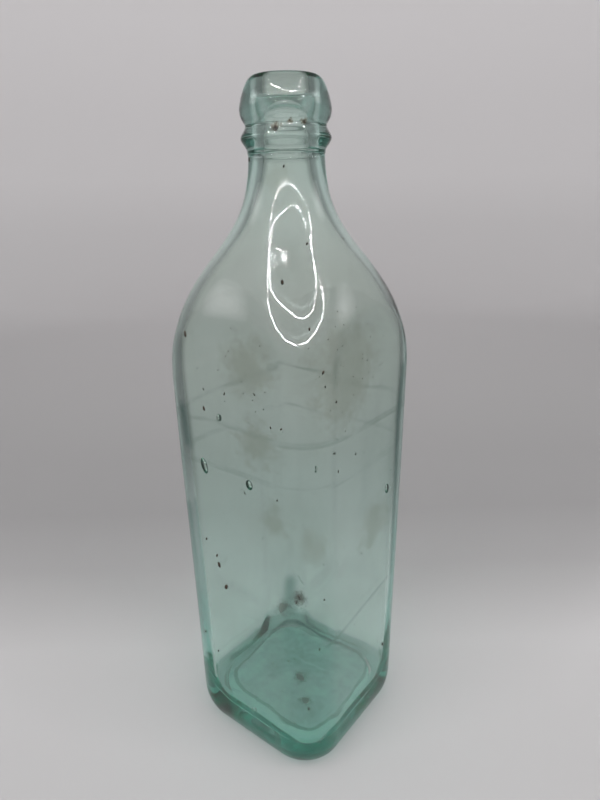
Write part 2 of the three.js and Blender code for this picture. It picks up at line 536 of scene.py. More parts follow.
def newGroup(name, inputs, outputs):
    # an empty shader group; a value that is a tuple makes a vector socket
    tree = bpy.data.node_groups.new(name, "ShaderNodeTree")
    for key, value in inputs.items():
        kind = "NodeSocketVector" if isinstance(value, tuple) else "NodeSocketFloat"
        tree.interface.new_socket(key, in_out="INPUT", socket_type=kind).default_value = value
    for key in outputs:
        tree.interface.new_socket(key, in_out="OUTPUT", socket_type="NodeSocketFloat")
    return tree, addNode(tree, "NodeGroupInput")


def newMaterial(name):
    material = bpy.data.materials.new(name)
    material.use_nodes = True
    return material, material.node_tree


def useGroup(tree, group, values, place):
    return addNode(tree, "ShaderNodeGroup", dict(values, Vector=(place, "Object")), node_tree=group)


def newGeometryTree(name, inputs):
    # an empty Geometry Nodes tree; a whole number makes an integer socket
    tree = bpy.data.node_groups.new(name, "GeometryNodeTree")
    face = tree.interface
    face.new_socket("Geometry", in_out="INPUT", socket_type="NodeSocketGeometry")
    for key, value in inputs.items():
        kind = "NodeSocketInt" if isinstance(value, int) else "NodeSocketFloat"
        face.new_socket(key, in_out="INPUT", socket_type=kind).default_value = value
    face.new_socket("Geometry", in_out="OUTPUT", socket_type="NodeSocketGeometry")
    return tree, addNode(tree, "NodeGroupInput")


def finishTree(tree, source, material):
    # instances are made real, because the export drops them
    real = addNode(tree, "GeometryNodeRealizeInstances", {0: source})
    rounded = addNode(tree, "GeometryNodeSetShadeSmooth", {0: real})
    finish = addNode(tree, "GeometryNodeSetMaterial", {0: rounded, "Material": material})
    addNode(tree, "NodeGroupOutput", {0: finish})
    return tree


def namedValue(tree, name, kind="FLOAT"):
    return addNode(tree, "GeometryNodeInputNamedAttribute", {"Name": name}, data_type=kind), "Attribute"


def applyTree(piece, tree, values):
    # runs a Geometry Nodes tree on the piece and keeps the plain mesh that comes out
    modifier = piece.modifiers.new(tree.name, "NODES")
    modifier.node_group = tree
    for item in tree.interface.items_tree:
        if item.in_out == "INPUT" and item.name in values:
            modifier[item.identifier] = values[item.name]
    graph = bpy.context.evaluated_depsgraph_get()
    made = bpy.data.meshes.new_from_object(piece.evaluated_get(graph))
    piece.modifiers.clear()
    piece.data = made
    made.name = piece.name
    print(piece.name, "finished:", len(made.polygons), "faces")


# Waves in the wall and the bubbles in it
ripples = {
    "Ripple Height": 0.00018,
    "Ripple Scale": 75.0,
    "Ripple Place": 3.0,
    "Swell Height": 0.0006,
    "Swell Scale": 22.0,
    "Swell Place": 11.0,
    "Seed Density": 700.0,
    "Seed Depth": -0.0016,
    "Seed Radius": 0.00018,
    "Smallest Seed": 0.5,
    "Largest Seed": 1.6,
    "Random Seed": 7,
}
waveStretch = (1.0, 1.0, 0.45)


def glassTree(material):
    # hand-blown glass: waves in both faces of the wall, bubbles inside it
    tree, start = newGeometryTree("handBlownGlass", ripples)

    # the points that place the larger bubbles are split from the wall
    isBubble = mathNode(tree, "GREATER_THAN", namedValue(tree, "bubble"), 0.5)
    split = addNode(tree, "GeometryNodeSeparateGeometry", {
        "Geometry": (start, "Geometry"), "Selection": isBubble,
    }, domain="POINT")
    wall = (split, "Inverted")

    # waves: a fine ripple and a slow swell, along the normal and drawn out upwards
    position = addNode(tree, "GeometryNodeInputPosition")
    drawnOut = vectorNode(tree, "MULTIPLY", position, waveStretch)
    shifts = []
    for kind in ("Ripple", "Swell"):
        noise = addNode(tree, "ShaderNodeTexNoise", {
            "Vector": drawnOut, "W": (start, kind + " Place"), "Scale": (start, kind + " Scale"),
            "Detail": 1.0, "Roughness": 0.4,
        }, noise_dimensions="4D")
        centred = mathNode(tree, "SUBTRACT", noise, 0.5)
        shifts.append(mathNode(tree, "MULTIPLY", centred, (start, kind + " Height")))
    wavy = namedValue(tree, "wavy")
    shift = mathNode(tree, "MULTIPLY", mathNode(tree, "ADD", *shifts), wavy)
    along = scaledVector(tree, addNode(tree, "GeometryNodeInputNormal"), shift)
    wave = addNode(tree, "GeometryNodeSetPosition", {"Geometry": wall, "Offset": along})

    def hole(detail):
        # a bubble is a hole in the glass, so its faces point inwards
        ball = addNode(tree, "GeometryNodeMeshIcoSphere", {"Radius": 1.0, "Subdivisions": detail})
        return addNode(tree, "GeometryNodeFlipFaces", {"Mesh": ball})

    placed = addNode(tree, "GeometryNodeMeshToPoints", {"Mesh": (split, "Selection")})
    turn = addNode(tree, "FunctionNodeEulerToRotation", {0: namedValue(tree, "bubbleTurn", "FLOAT_VECTOR")})
    big = addNode(tree, "GeometryNodeInstanceOnPoints", {
        "Points": placed, "Instance": hole(3), "Rotation": turn,
        "Scale": namedValue(tree, "bubbleSize", "FLOAT_VECTOR"),
    })

    # small seeds scattered in the wall, where it is wavy all through
    inWall = addNode(tree, "FunctionNodeCompare", {"A": wavy, "B": 0.9},
                     data_type="FLOAT", operation="GREATER_THAN")
    scatter = addNode(tree, "GeometryNodeDistributePointsOnFaces", {
        "Mesh": wall, "Selection": inWall,
        "Density": (start, "Seed Density"), "Seed": (start, "Random Seed"),
    })
    sink = scaledVector(tree, (scatter, "Normal"), (start, "Seed Depth"))
    sunk = addNode(tree, "GeometryNodeSetPosition", {"Geometry": scatter, "Offset": sink})
    spread = addNode(tree, "FunctionNodeRandomValue", {
        2: (start, "Smallest Seed"), 3: (start, "Largest Seed"), "Seed": (start, "Random Seed"),
    }, data_type="FLOAT")
    size = mathNode(tree, "MULTIPLY", (spread, 1), (start, "Seed Radius"))
    small = addNode(tree, "GeometryNodeInstanceOnPoints", {
        "Points": sunk, "Instance": hole(1), "Scale": size,
    })

    whole = addNode(tree, "GeometryNodeJoinGeometry")
    for part in (wave, big, small):
        tree.links.new(part.outputs[0], whole.inputs[0])
    return finishTree(tree, whole, material)


# Shader groups that the body's glass and the lip's glass share
def softSpotGroup():
    # 1 in the middle of a spot, fading to 0 at its reach, with a ragged edge
    tree, start = newGroup("softSpot", {
        "Vector": (0.0, 0.0, 0.0), "Place": (0.0, 0.0, 0.0), "Reach": 0.01, "Ragged": 0.3, "Grain": 300.0,
    }, ["Mask"])
    away = vectorNode(tree, "DISTANCE", (start, "Vector"), (start, "Place"))
    share = mathNode(tree, "DIVIDE", (away, "Value"), (start, "Reach"))
    noise = centredNoise(tree, (start, "Vector"), (start, "Grain"), 4.0, 0.65)
    uneven = mathNode(tree, "MULTIPLY", noise, (start, "Ragged"))
    rough = mathNode(tree, "MULTIPLY_ADD", uneven, 2.0, share)
    addNode(tree, "NodeGroupOutput", {"Mask": softStep(tree, rough, 1.0, 0.35)})
    return tree


def scratchAndShadeGroup():
    # 1 along a straight line from one point to another, up to Edge of its thickness; it draws scratches,
    # and painted shade along folds
    tree, start = newGroup("scratchAndShadeLine", {
        "Vector": (0.0, 0.0, 0.0), "From": (0.0, 0.0, 0.0), "To": (0.0, 0.0, 0.01),
        "Thickness": 0.0004, "Edge": 0.4,
    }, ["Mask"])
    along = vectorNode(tree, "SUBTRACT", (start, "To"), (start, "From"))
    here = vectorNode(tree, "SUBTRACT", (start, "Vector"), (start, "From"))
    reach = vectorNode(tree, "DOT_PRODUCT", here, along)
    whole = vectorNode(tree, "DOT_PRODUCT", along, along)
    share = mathNode(tree, "DIVIDE", (reach, "Value"), (whole, "Value"))
    share.use_clamp = True
    away = vectorNode(tree, "DISTANCE", here, scaledVector(tree, along, share))
    size = mathNode(tree, "DIVIDE", (away, "Value"), (start, "Thickness"))
    addNode(tree, "NodeGroupOutput", {"Mask": softStep(tree, size, 1.0, (start, "Edge"))})
    return tree


def tideLineGroup():
    # 1 along a level line that wavers a little, stronger here and weaker there
    tree, start = newGroup("tideLine", {
        "Vector": (0.0, 0.0, 0.0), "Height": 0.1, "Thickness": 0.0006, "Waver": 0.002,
    }, ["Mask"])
    parts = splitVector(tree, (start, "Vector"))
    noise = centredNoise(tree, (start, "Vector"), 18.0, 1.0)
    shifted = mathNode(tree, "MULTIPLY_ADD", noise, (start, "Waver"), (parts, "Z"))
    away = mathNode(tree, "ABSOLUTE", mathNode(tree, "SUBTRACT", shifted, (start, "Height")))
    line = softStep(tree, mathNode(tree, "DIVIDE", away, (start, "Thickness")), 1.0, 0.2)
    broken = rangeNode(tree, noiseNode(tree, (start, "Vector"), 60.0, 2.0), 0.35, 0.6)
    addNode(tree, "NodeGroupOutput", {"Mask": mathNode(tree, "MULTIPLY", line, broken)})
    return tree


# Where the base's painted shade and mottle lie: heights from the floor inside in metres, and shares of the
# crease
baseZones = {
    "onFloor": (-0.0020, -0.0012, 0.0012, 0.0020),
    "onLedge": (-0.0100, -0.0080, 0.0012, 0.0024),
    "notBelow": (-0.0020, -0.0012),
    "belowFloor": (0.0010, -0.0015),
    "insideCrease": (1.02, 0.93),
    "outsideCrease": (1.0, 1.04, 1.25, 1.28),
    "outsideHollow": (1.06, 1.16),
    "ledgeRaggedness": 0.006,
}


def baseMottleAndShadeGroup():
    # painted shade along the crease round the floor, on the ledge outside it and on the heel, and a mottled
    # tint on the floor inside the crease
    tree, start = newGroup("baseMottleAndShade", {
        "Vector": (0.0, 0.0, 0.0), "Middle": (0.0, 0.0, 0.0), "Half": 0.025, "Squareness": 5.6,
        "Thickness": 0.045, "Waver": 0.1, "Floor": 0.0125, "Climb": 0.2, "Squash": 0.06,
    }, ["Line", "Film", "Ledge", "Heel"])
    zones = baseZones

    def both(first, second):
        return mathNode(tree, "MULTIPLY", first, second)

    def between(source, low, lowFull, highFull, high):
        # 1 from lowFull to highFull, fading to 0 at low and at high
        return both(softStep(tree, source, low, lowFull), softStep(tree, source, high, highFull))

    # how far out a point is, as a share of the crease, which is a rounded square; one of its
    # diagonals is shorter than the other
    parts = splitVector(tree, vectorNode(tree, "SUBTRACT", (start, "Vector"), (start, "Middle")))
    more = both(mathNode(tree, "ADD", (parts, "X"), (parts, "Y")), (start, "Squash"))
    powers = []
    for axis in ("X", "Y"):
        share = mathNode(tree, "DIVIDE", mathNode(tree, "ADD", (parts, axis), more), (start, "Half"))
        powers.append(mathNode(tree, "POWER", mathNode(tree, "ABSOLUTE", share), (start, "Squareness")))
    root = mathNode(tree, "DIVIDE", 1.0, (start, "Squareness"))
    plain = mathNode(tree, "POWER", mathNode(tree, "ADD", *powers), root)
    noise = centredNoise(tree, (start, "Vector"), 110.0, 2.0)
    reach = mathNode(tree, "MULTIPLY_ADD", noise, (start, "Waver"), plain)
    above = mathNode(tree, "SUBTRACT", (parts, "Z"), (start, "Floor"))
    onFloor = between(above, *zones["onFloor"])

    # painted shade along the crease
    away = mathNode(tree, "ABSOLUTE", mathNode(tree, "SUBTRACT", reach, 1.0))
    line = softStep(tree, mathNode(tree, "DIVIDE", away, (start, "Thickness")), 1.0, 0.3)

    # a mottled tint, darker and less green, on the floor inside the crease
    patchy = rangeNode(tree, noiseNode(tree, (start, "Vector"), 190.0, 5.0, 0.65), 0.35, 0.68, 0.45, 1.0)
    inside = softStep(tree, reach, *zones["insideCrease"])

    # painted shade on the ledge, which climbs the wall on one side
    climb = mathNode(tree, "MINIMUM", both((parts, "X"), (start, "Climb")), 0.0)
    ragged = mathNode(tree, "MULTIPLY_ADD", noise, zones["ledgeRaggedness"], climb)
    onLedge = between(mathNode(tree, "ADD", above, ragged), *zones["onLedge"])
    notBelow = rangeNode(tree, above, *zones["notBelow"])
    outside = between(reach, *zones["outsideCrease"])

    # painted shade on the heel, below the floor and outside the hollow
    belowFloor = softStep(tree, above, *zones["belowFloor"])
    farOut = softStep(tree, plain, *zones["outsideHollow"])
    addNode(tree, "NodeGroupOutput", {
        "Line": both(line, onFloor),
        "Film": both(both(inside, patchy), onFloor),
        "Ledge": both(both(onLedge, outside), notBelow),
        "Heel": both(belowFloor, farOut),
    })
    return tree


def cloudingGroup():
    # old glass: broad dull clouds, fine upright smears and a faint orange peel
    tree, start = newGroup("clouding", {
        "Vector": (0.0, 0.0, 0.0), "Cloud Scale": 30.0, "Smear Scale": 260.0, "Peel Scale": 700.0,
    }, ["Cloud", "Smear", "Peel"])
    cloud = noiseNode(tree, (start, "Vector"), (start, "Cloud Scale"), 4.0, 0.6)
    upright = vectorNode(tree, "MULTIPLY", (start, "Vector"), (1.0, 1.0, 0.12))
    smear = noiseNode(tree, upright, (start, "Smear Scale"), 3.0, 0.6)
    addNode(tree, "NodeGroupOutput", {
        "Cloud": softStep(tree, cloud, 0.42, 0.72),  # the noise's own range, stretched
        "Smear": softStep(tree, smear, 0.5, 0.8),
        "Peel": noiseNode(tree, (start, "Vector"), (start, "Peel Scale"), 2.0),
    })
    return tree


# The glass itself. Its own colour is in its depth; the surface holds the clouds, stains and scratches, and
# painted shade along the folds and round the base.
# The rows give what surfaceMarks names, in its order, in metres.
bodyGlass = {
    "absorbColour": (0.20, 0.80, 0.70, 1.0),
    "absorbDensity": 30.0,
    "lowTint": (0.945, 1.0, 0.975, 1.0),
    "highTint": (0.985, 1.0, 0.97, 1.0),
    "tintFrom": 0.09,
    "tintTo": 0.16,
    "cloudTint": (0.93, 0.935, 0.92, 1.0),
    "smearTint": (0.94, 0.95, 0.93, 1.0),
    "cloudAmount": 0.6,
    "smearAmount": 0.5,
    "roughness": 0.012,
    "cloudRoughness": 0.06,
    "peelHeight": 0.000005,
    "lightThrough": (0.55, 0.555, 0.555, 1.0),
    "stains": [
        ((0.0360, -0.0140, 0.1645), 0.021, 0.9, 220.0),
        ((0.0355, -0.0180, 0.1560), 0.014, 1.1, 350.0),
        ((0.0100, -0.0355, 0.1660), 0.013, 1.1, 260.0),
        ((0.0125, -0.0358, 0.1400), 0.011, 1.4, 260.0),
        ((0.0190, -0.0355, 0.1130), 0.008, 1.3, 240.0),
        ((0.0060, -0.0130, 0.2240), 0.006, 0.8, 500.0),
        ((-0.0130, 0.0315, 0.0560), 0.012, 1.1, 120.0),
        ((0.0340, 0.0060, 0.0980), 0.013, 1.1, 150.0),
    ],
    "stainTint": (0.87, 0.85, 0.81, 1.0),
    "residues": [
        ((-0.0214, 0.0306, 0.0240), 0.0060, 0.9, 420.0),
        ((-0.0285, 0.0250, 0.0190), 0.0055, 1.0, 420.0),
        ((0.0042, -0.0023, 0.0130), 0.0040, 1.0, 500.0),
        ((0.0130, -0.0110, 0.0130), 0.0030, 1.0, 500.0),
    ],
    "residueTint": (0.20, 0.17, 0.15, 1.0),
    "scratches": [
        ((0.0346, -0.0260, 0.0605), (0.0352, 0.0260, 0.0690), 0.0012),
        ((0.0020, -0.0351, 0.0662), (0.0097, -0.0351, 0.0672), 0.0004),
        ((0.0097, -0.0351, 0.0672), (0.0160, -0.0351, 0.0702), 0.0003),
        ((0.0276, -0.0331, 0.0935), (0.0289, -0.0322, 0.0903), 0.0004),
    ],
    "tideLines": [
        (0.1425, 0.0009, 0.008),
        (0.1262, 0.0008, 0.006),
    ],
    # painted shade: dark teal streaks along folds in the wall, from, to and thickness
    "folds": [
        ((-0.0223, -0.0358, 0.1460), (-0.0212, -0.0357, 0.1330), 0.0045),
        ((-0.0247, -0.0349, 0.1040), (-0.0241, -0.0345, 0.0823), 0.0052),
        ((-0.0241, -0.0345, 0.0823), (-0.0251, -0.0339, 0.0450), 0.0060),
        ((0.0359, 0.0217, 0.1570), (0.0358, 0.0193, 0.1370), 0.0040),
        ((0.0358, 0.0193, 0.1370), (0.0354, 0.0200, 0.0700), 0.0028),
        ((-0.0262, 0.0275, 0.0140), (-0.0262, 0.0275, 0.0330), 0.0070),
    ],
    # the colour of the painted shade along the folds
    "foldShadeTint": (0.27, 0.42, 0.39, 1.0),
    "lineTint": (0.72, 0.76, 0.74, 1.0),
    # painted shade along the crease, on the ledge and on the heel, and a mottled tint on the floor inside
    # the crease
    "baseMottleAndShade": {"Middle": (0.0001, 0.0016, 0.0), "Half": 0.0255},
    "baseTints": {
        "Line": (0.14, 0.24, 0.22, 1.0),
        "Film": (0.60, 0.49, 0.52, 1.0),
        "Ledge": (0.72, 0.84, 0.81, 1.0),
        "Heel": (0.42, 0.55, 0.53, 1.0),
    },
}

lipGlass = dict(
    bodyGlass,
    absorbDensity=22.0,
    cloudAmount=0.25,
    peelHeight=0.000016,
    stains=[
        ((0.0061, -0.0128, 0.2388), 0.0022, 1.2, 900.0),
        ((0.0123, -0.0060, 0.2402), 0.0016, 1.2, 900.0),
        ((0.0096, -0.0099, 0.2405), 0.0012, 1.2, 900.0),
    ],
    stainTint=(0.30, 0.20, 0.13, 1.0),
    residues=[],
    scratches=[],
    folds=[],
    tideLines=[],
    baseMottleAndShade=None,
)


# What lies on the glass, and the painted shade along its folds: the group that draws each, its tint, and
# how much duller it makes the surface
spotValues = ("Place", "Reach", "Ragged", "Grain")
lineValues = ("From", "To", "Thickness")
surfaceMarks = {
    "stains": {"group": "softSpot", "values": spotValues, "tint": "stainTint", "dull": 0.12},
    "residues": {"group": "softSpot", "values": spotValues, "tint": "residueTint", "dull": 0.30},
    # painted shade along the folds, which leaves the surface as glossy as it is
    "folds": {"group": "scratchAndShadeLine", "values": lineValues, "tint": "foldShadeTint", "dull": 0.0,
              "shared": {"Edge": 0.0}},
    "scratches": {"group": "scratchAndShadeLine", "values": lineValues, "tint": "lineTint", "dull": 0.12},
    "tideLines": {"group": "tideLine", "values": ("Height", "Thickness", "Waver"),
                  "tint": "lineTint", "dull": 0.15},
}


def glassMaterial(name, look, groups):
    material, tree = newMaterial(name)
    tree.nodes.clear()
    place = addNode(tree, "ShaderNodeTexCoord")
    age = useGroup(tree, groups["clouding"], {}, place)

    # colour of the surface: a tint that changes with height, then what lies on it, and the painted shade
    parts = splitVector(tree, (place, "Object"))
    rise = rangeNode(tree, (parts, "Z"), look["tintFrom"], look["tintTo"])
    colour = mixColours(tree, rise, look["lowTint"], look["highTint"])
    for kind in ("cloud", "smear"):
        amount = mathNode(tree, "MULTIPLY", (age, kind.capitalize()), look[kind + "Amount"])
        colour = mixColours(tree, amount, colour, look[kind + "Tint"], "MULTIPLY")
    dullness = mathNode(tree, "MULTIPLY_ADD", (age, "Cloud"), look["cloudRoughness"], look["roughness"])
    for key, mark in surfaceMarks.items():
        # the strongest of the masks of one kind
        masks = []
        for row in look[key]:
            values = dict(zip(mark["values"], row), **mark.get("shared", {}))
            masks.append(useGroup(tree, groups[mark["group"]], values, place))
        for i in range(1, len(masks)):
            masks[i] = mathNode(tree, "MAXIMUM", masks[i - 1], masks[i])
        if masks:
            colour = mixColours(tree, masks[-1], colour, look[mark["tint"]], "MULTIPLY")
            dullness = mathNode(tree, "MULTIPLY_ADD", masks[-1], mark["dull"], dullness)
    # painted shade on the crease, ledge and heel, and a mottled tint on the floor
    if look["baseMottleAndShade"]:
        marks = useGroup(tree, groups["baseMottleAndShade"], look["baseMottleAndShade"], place)
        for key, tint in look["baseTints"].items():
            colour = mixColours(tree, (marks, key), colour, tint, "MULTIPLY")

    # nothing shows where the lip is fused to the neck
    seat = addNode(tree, "ShaderNodeAttribute", attribute_name="seat")
    shader = addNode(tree, "ShaderNodeBsdfPrincipled", {
        "IOR": 1.5,
        "Transmission Weight": 1.0,
        "Base Color": colour,
        "Roughness": dullness,
        "Normal": addNode(tree, "ShaderNodeBump", {
            "Strength": 1.0, "Distance": look["peelHeight"], "Height": (age, "Peel"),
        }),
        "Alpha": mathNode(tree, "SUBTRACT", 1.0, (seat, "Fac")),
    })

    # lamps light what is behind the glass
    path = addNode(tree, "ShaderNodeLightPath")
    clear = addNode(tree, "ShaderNodeBsdfTransparent", {"Color": look["lightThrough"]})
    absorb = addNode(tree, "ShaderNodeVolumeAbsorption", {
        "Color": look["absorbColour"],
        "Density": look["absorbDensity"],
    })
    addNode(tree, "ShaderNodeOutputMaterial", {
        "Surface": addNode(tree, "ShaderNodeMixShader", {0: (path, "Is Shadow Ray"), 1: shader, 2: clear}),
        "Volume": absorb,
    })
    return material


# Dark specks: stones and dirt in the outer face of the glass, and grains lying on the floor inside
specks = {
    "size": 0.00042,
    "flatness": 0.6,
    "stretch": 2.0,
    "unevenness": 0.45,
    "seed": 5,
    "nearSkin": 0.0035,
    "turn": (0.5, 0.5, 0.6),
    "colours": [(0.35, (0.012, 0.010, 0.009, 1)), (0.7, (0.075, 0.050, 0.032, 1))],
    "roughness": (0.55, 0.85),
    "places": [
        (-0.0002, -0.0352, 0.1557, 0.9), (0.0131, -0.0353, 0.1580, 0.8), (-0.0106, -0.0351, 0.1482, 1.2),
        (0.0193, -0.0351, 0.1480, 0.7), (0.0234, -0.0348, 0.1482, 0.7), (0.0349, -0.0202, 0.1309, 0.8),
        (0.0334, -0.0262, 0.1665, 1.0), (0.0338, -0.0258, 0.1619, 0.7), (0.0352, -0.0218, 0.1560, 0.7),
        (-0.0094, -0.0344, 0.0841, 2.3), (-0.0101, -0.0344, 0.0880, 1.0), (-0.0065, -0.0343, 0.0752, 1.9),
        (-0.0152, -0.0345, 0.0935, 1.1), (0.0208, -0.0348, 0.1220, 0.6), (0.0329, -0.0256, 0.0821, 0.8),
        (0.0338, 0.0150, 0.0341, 1.3), (0.0019, 0.0166, 0.0134, 1.2), (-0.0140, -0.0338, 0.0401, 1.1),
        (-0.0208, -0.0338, 0.0464, 1.0), (0.0073, -0.0106, 0.2272, 0.8), (0.0178, -0.0130, 0.2036, 0.9),
        (0.0172, -0.0248, 0.1928, 1.5), (0.0200, 0.0033, 0.2042, 0.7), (-0.0176, -0.0349, 0.1739, 1.6),
        (0.0283, -0.0261, 0.1795, 0.9), (-0.0068, -0.0108, 0.2299, 1.0), (-0.0105, -0.0033, 0.0134, 0.8),
        (-0.0055, 0.0019, 0.0135, 1.0), (-0.0040, 0.0049, 0.0135, 0.7), (0.0171, -0.0139, 0.0133, 1.6),
        (0.0168, -0.0225, 0.0128, 0.9), (-0.0011, -0.0097, 0.0134, 0.7), (0.0036, -0.0133, 0.0134, 0.8),
        (-0.0214, 0.0296, 0.0247, 2.2), (-0.0225, 0.0290, 0.0215, 1.6), (0.0060, 0.0348, 0.1100, 1.2),
        (-0.0348, 0.0080, 0.0900, 1.4), (-0.0349, -0.0120, 0.1450, 1.0), (0.0120, 0.0347, 0.0620, 0.9),
        (0.0059, -0.0126, 0.2386, 1.1), (0.0064, -0.0125, 0.2380, 0.9), (0.0054, -0.0128, 0.2381, 0.8),
        (0.0096, -0.0099, 0.2405, 0.7), (0.0124, -0.0061, 0.2402, 0.8), (0.0119, -0.0070, 0.2398, 0.5),
    ],
    "dustReach": 2.2,
    "dustSizes": (0.12, 0.42),
    "dusting": [
        {"middle": (0.0353, -0.0140, 0.1640), "spread": 0.0090, "count": 52},
        {"middle": (0.0090, -0.0353, 0.1620), "spread": 0.0075, "count": 20},
    ],
}


def speckMaterial():
    # burnt brown to black, dull
    material, tree = newMaterial("burntGrit")
    place = addNode(tree, "ShaderNodeTexCoord")
    noise = noiseNode(tree, (place, "Object"), 900.0, 3.0)
    ramp = rampNode(tree, noise, specks["colours"])
    dull = rangeNode(tree, noise, 0.0, 1.0, *specks["roughness"])
    shader = tree.nodes["Principled BSDF"]
    tree.links.new(ramp.outputs[0], shader.inputs["Base Color"])
    tree.links.new(dull.outputs[0], shader.inputs["Roughness"])
    return material


def speckTree(material, sizes):
    tree, start = newGeometryTree("strewnSpecks", sizes)

    # one grain for each point, turned at random and longer one way
    ball = addNode(tree, "GeometryNodeMeshIcoSphere", {"Radius": 1.0, "Subdivisions": 1})
    points = addNode(tree, "GeometryNodeMeshToPoints", {"Mesh": (start, "Geometry")})
    size = mathNode(tree, "MULTIPLY", namedValue(tree, "grainSize"), (start, "Size"))
    scale = addNode(tree, "ShaderNodeCombineXYZ", {
        0: size,
        1: mathNode(tree, "MULTIPLY", size, (start, "Flatness")),
        2: mathNode(tree, "MULTIPLY", size, (start, "Stretch")),
    })
    most = specks["turn"]
    turn = addNode(tree, "FunctionNodeRandomValue", {
        0: tuple(-angle for angle in most), 1: most, "Seed": (start, "Random Seed"),
    }, data_type="FLOAT_VECTOR")
    grains = addNode(tree, "GeometryNodeInstanceOnPoints", {
        "Points": points, "Instance": ball, "Scale": scale,
        "Rotation": addNode(tree, "FunctionNodeEulerToRotation", {0: turn}),
    })
    real = addNode(tree, "GeometryNodeRealizeInstances", {0: grains})

    # lumps, up to the unevenness as a share of the size
    position = addNode(tree, "GeometryNodeInputPosition")
    noise = centredNoise(tree, position, 1500.0, 1.0)
    amount = mathNode(tree, "MULTIPLY", (start, "Unevenness"), (start, "Size"))
    lump = mathNode(tree, "MULTIPLY", mathNode(tree, "MULTIPLY", noise, amount), 2.0)
    shift = scaledVector(tree, addNode(tree, "GeometryNodeInputNormal"), lump)
    moved = addNode(tree, "GeometryNodeSetPosition", {"Geometry": real, "Offset": shift})
    return finishTree(tree, moved, material)


def skinRadius(angle, z):
    # from the axis to the body's outer face, at a height above the heel
    radius = squareRadius(angle, outerHalf(z), body["cornerRadius"])
    if z <= shoulder["start"]:
        return radius
    low, high = 0.0, 1.0
    for _ in range(20):  # each turn halves the part of the line that the height may lie in
        share = (low + high) / 2
        if bezier(shoulderLine, share).y < z:
            low = share
        else:
            high = share
    section = shoulderSection(bezier(shoulderLine, share).x, share)
    return softMin(radius, sectionRadius(angle, section), shoulder["softness"])


def onSkin(x, y, z):
    # the place on the body's outer face that lies in the same direction, at the same height
    angle = math.atan2(y, x)
    radius = skinRadius(angle, z)
    return Vector((radius * math.cos(angle), radius * math.sin(angle), z))


def placeGrain(place):
    # a grain near the body's outer face is moved onto it
    x, y, z = place
    if z > lipBottom:
        return Vector(place)
    near = onSkin(x, y, z)
    if abs(math.hypot(x, y) - near.xy.length) > specks["nearSkin"]:
        return Vector(place)
    return near


def makeSpecks():
    chance = random.Random(specks["seed"])
    grains = [(*placeGrain(grain[:3]), grain[3]) for grain in specks["places"]]
    for dust in specks["dusting"]:
        middle = Vector(dust["middle"])
        reach = specks["dustReach"] * dust["spread"]
        for _ in range(dust["count"]):
            # spread over the face, which lies square to the larger of x and y
            a, b = (min(max(chance.gauss(0, dust["spread"]), -reach), reach) for _ in range(2))
            aside = Vector((0, a, b)) if abs(middle.x) > abs(middle.y) else Vector((a, 0, b))
            grains.append((*onSkin(*(middle + aside)), chance.uniform(*specks["dustSizes"])))
    data = bpy.data.meshes.new("dark_specks")
    data.from_pydata([grain[:3] for grain in grains], [], [])
    addAttribute(data, "grainSize", "POINT", [grain[3] for grain in grains])
    piece = addObject("dark_specks", data)
    sizes = {
        "Size": specks["size"],
        "Flatness": specks["flatness"],
        "Stretch": specks["stretch"],
        "Unevenness": specks["unevenness"],
        "Random Seed": specks["seed"],
    }
    applyTree(piece, speckTree(speckMaterial(), sizes), sizes)
    return piece


# Camera: the photograph's place, found from the outline, as shares of the bottle's height
cameraPlace = {
    "distance": 0.8603,
    "height": 0.8594,
    "azimuth": 0.6784,
    "turn": -0.0139,
    "pitch": 0.3335,
    "roll": -0.0182,
    "focalPixels": 598.8,
    "longSide": 800,
    "sensor": 36,
    "clip": (0.01, 50),
}
upwards = Vector((0, 0, 1))


def levelDirections(heading):
    # straight ahead and to the right, along the floor
    ahead = Vector((-math.sin(heading), math.cos(heading), 0))
    right = Vector((math.cos(heading), math.sin(heading), 0))
    return ahead, right


def makeCamera():
    place = cameraPlace
    azimuth, pitch, roll = place["azimuth"], place["pitch"], place["roll"]
    ahead, right = levelDirections(azimuth + place["turn"])
    look = ahead * math.cos(pitch) - upwards * math.sin(pitch)
    top = ahead * math.sin(pitch) + upwards * math.cos(pitch)
    side = right * math.cos(roll) + top * math.sin(roll)
    top = top * math.cos(roll) - right * math.sin(roll)
    data = bpy.data.cameras.new("camera")
    data.sensor_width = place["sensor"]
    data.lens = place["focalPixels"] / place["longSide"] * data.sensor_width
    data.clip_start, data.clip_end = place["clip"]
    camera = addObject("camera", data)
    turn = Matrix((side, top, -look)).transposed().to_4x4()
    spot = Vector((math.sin(azimuth), -math.cos(azimuth), 0)) * place["distance"]
    spot.z = place["height"]
    camera.matrix_world = Matrix.Translation(spot * height) @ turn
    bpy.context.scene.camera = camera


# Studio: a pale floor that curves up into a wall all round, open above. Its shades are painted light and
# shade: they go from the camera's side to the far side of the floor, darker in a band behind the bottle,
# and then lighter up the wall, by places in metres.
studio = {
    "floorRadius": 0.9,
    "bend": 0.4,
    "bendSteps": 12,
    "around": 96,
    "wallHeight": 0.9,
    "clearance": 0.0003,
    "floorShades": [(-0.4, 0.42), (-0.05, 0.44), (0.03, 0.49), (0.10, 0.356), (0.168, 0.312),
                    (0.266, 0.338), (0.413, 0.40), (0.9, 0.575)],
    "wallShades": [(0.0, 1.0), (0.15, 1.1), (0.25, 1.24), (0.58, 1.43), (0.9, 1.45)],
    "tint": (1.0, 0.975, 0.985, 1.0),
    "roughness": 0.9,
    # painted shade on the floor and wall outside the camera's view, seen only by the glass
    "openFrom": 0.12,
    "openTo": 0.30,
    "openAside": (0.93, 0.80),
    "openShade": 0.52,
    "skyColour": (0.50, 0.48, 0.48, 1.0),
    "roomColour": (0.06, 0.06, 0.06, 1.0),
    "bentColour": (0.26, 0.26, 0.26, 1.0),
}


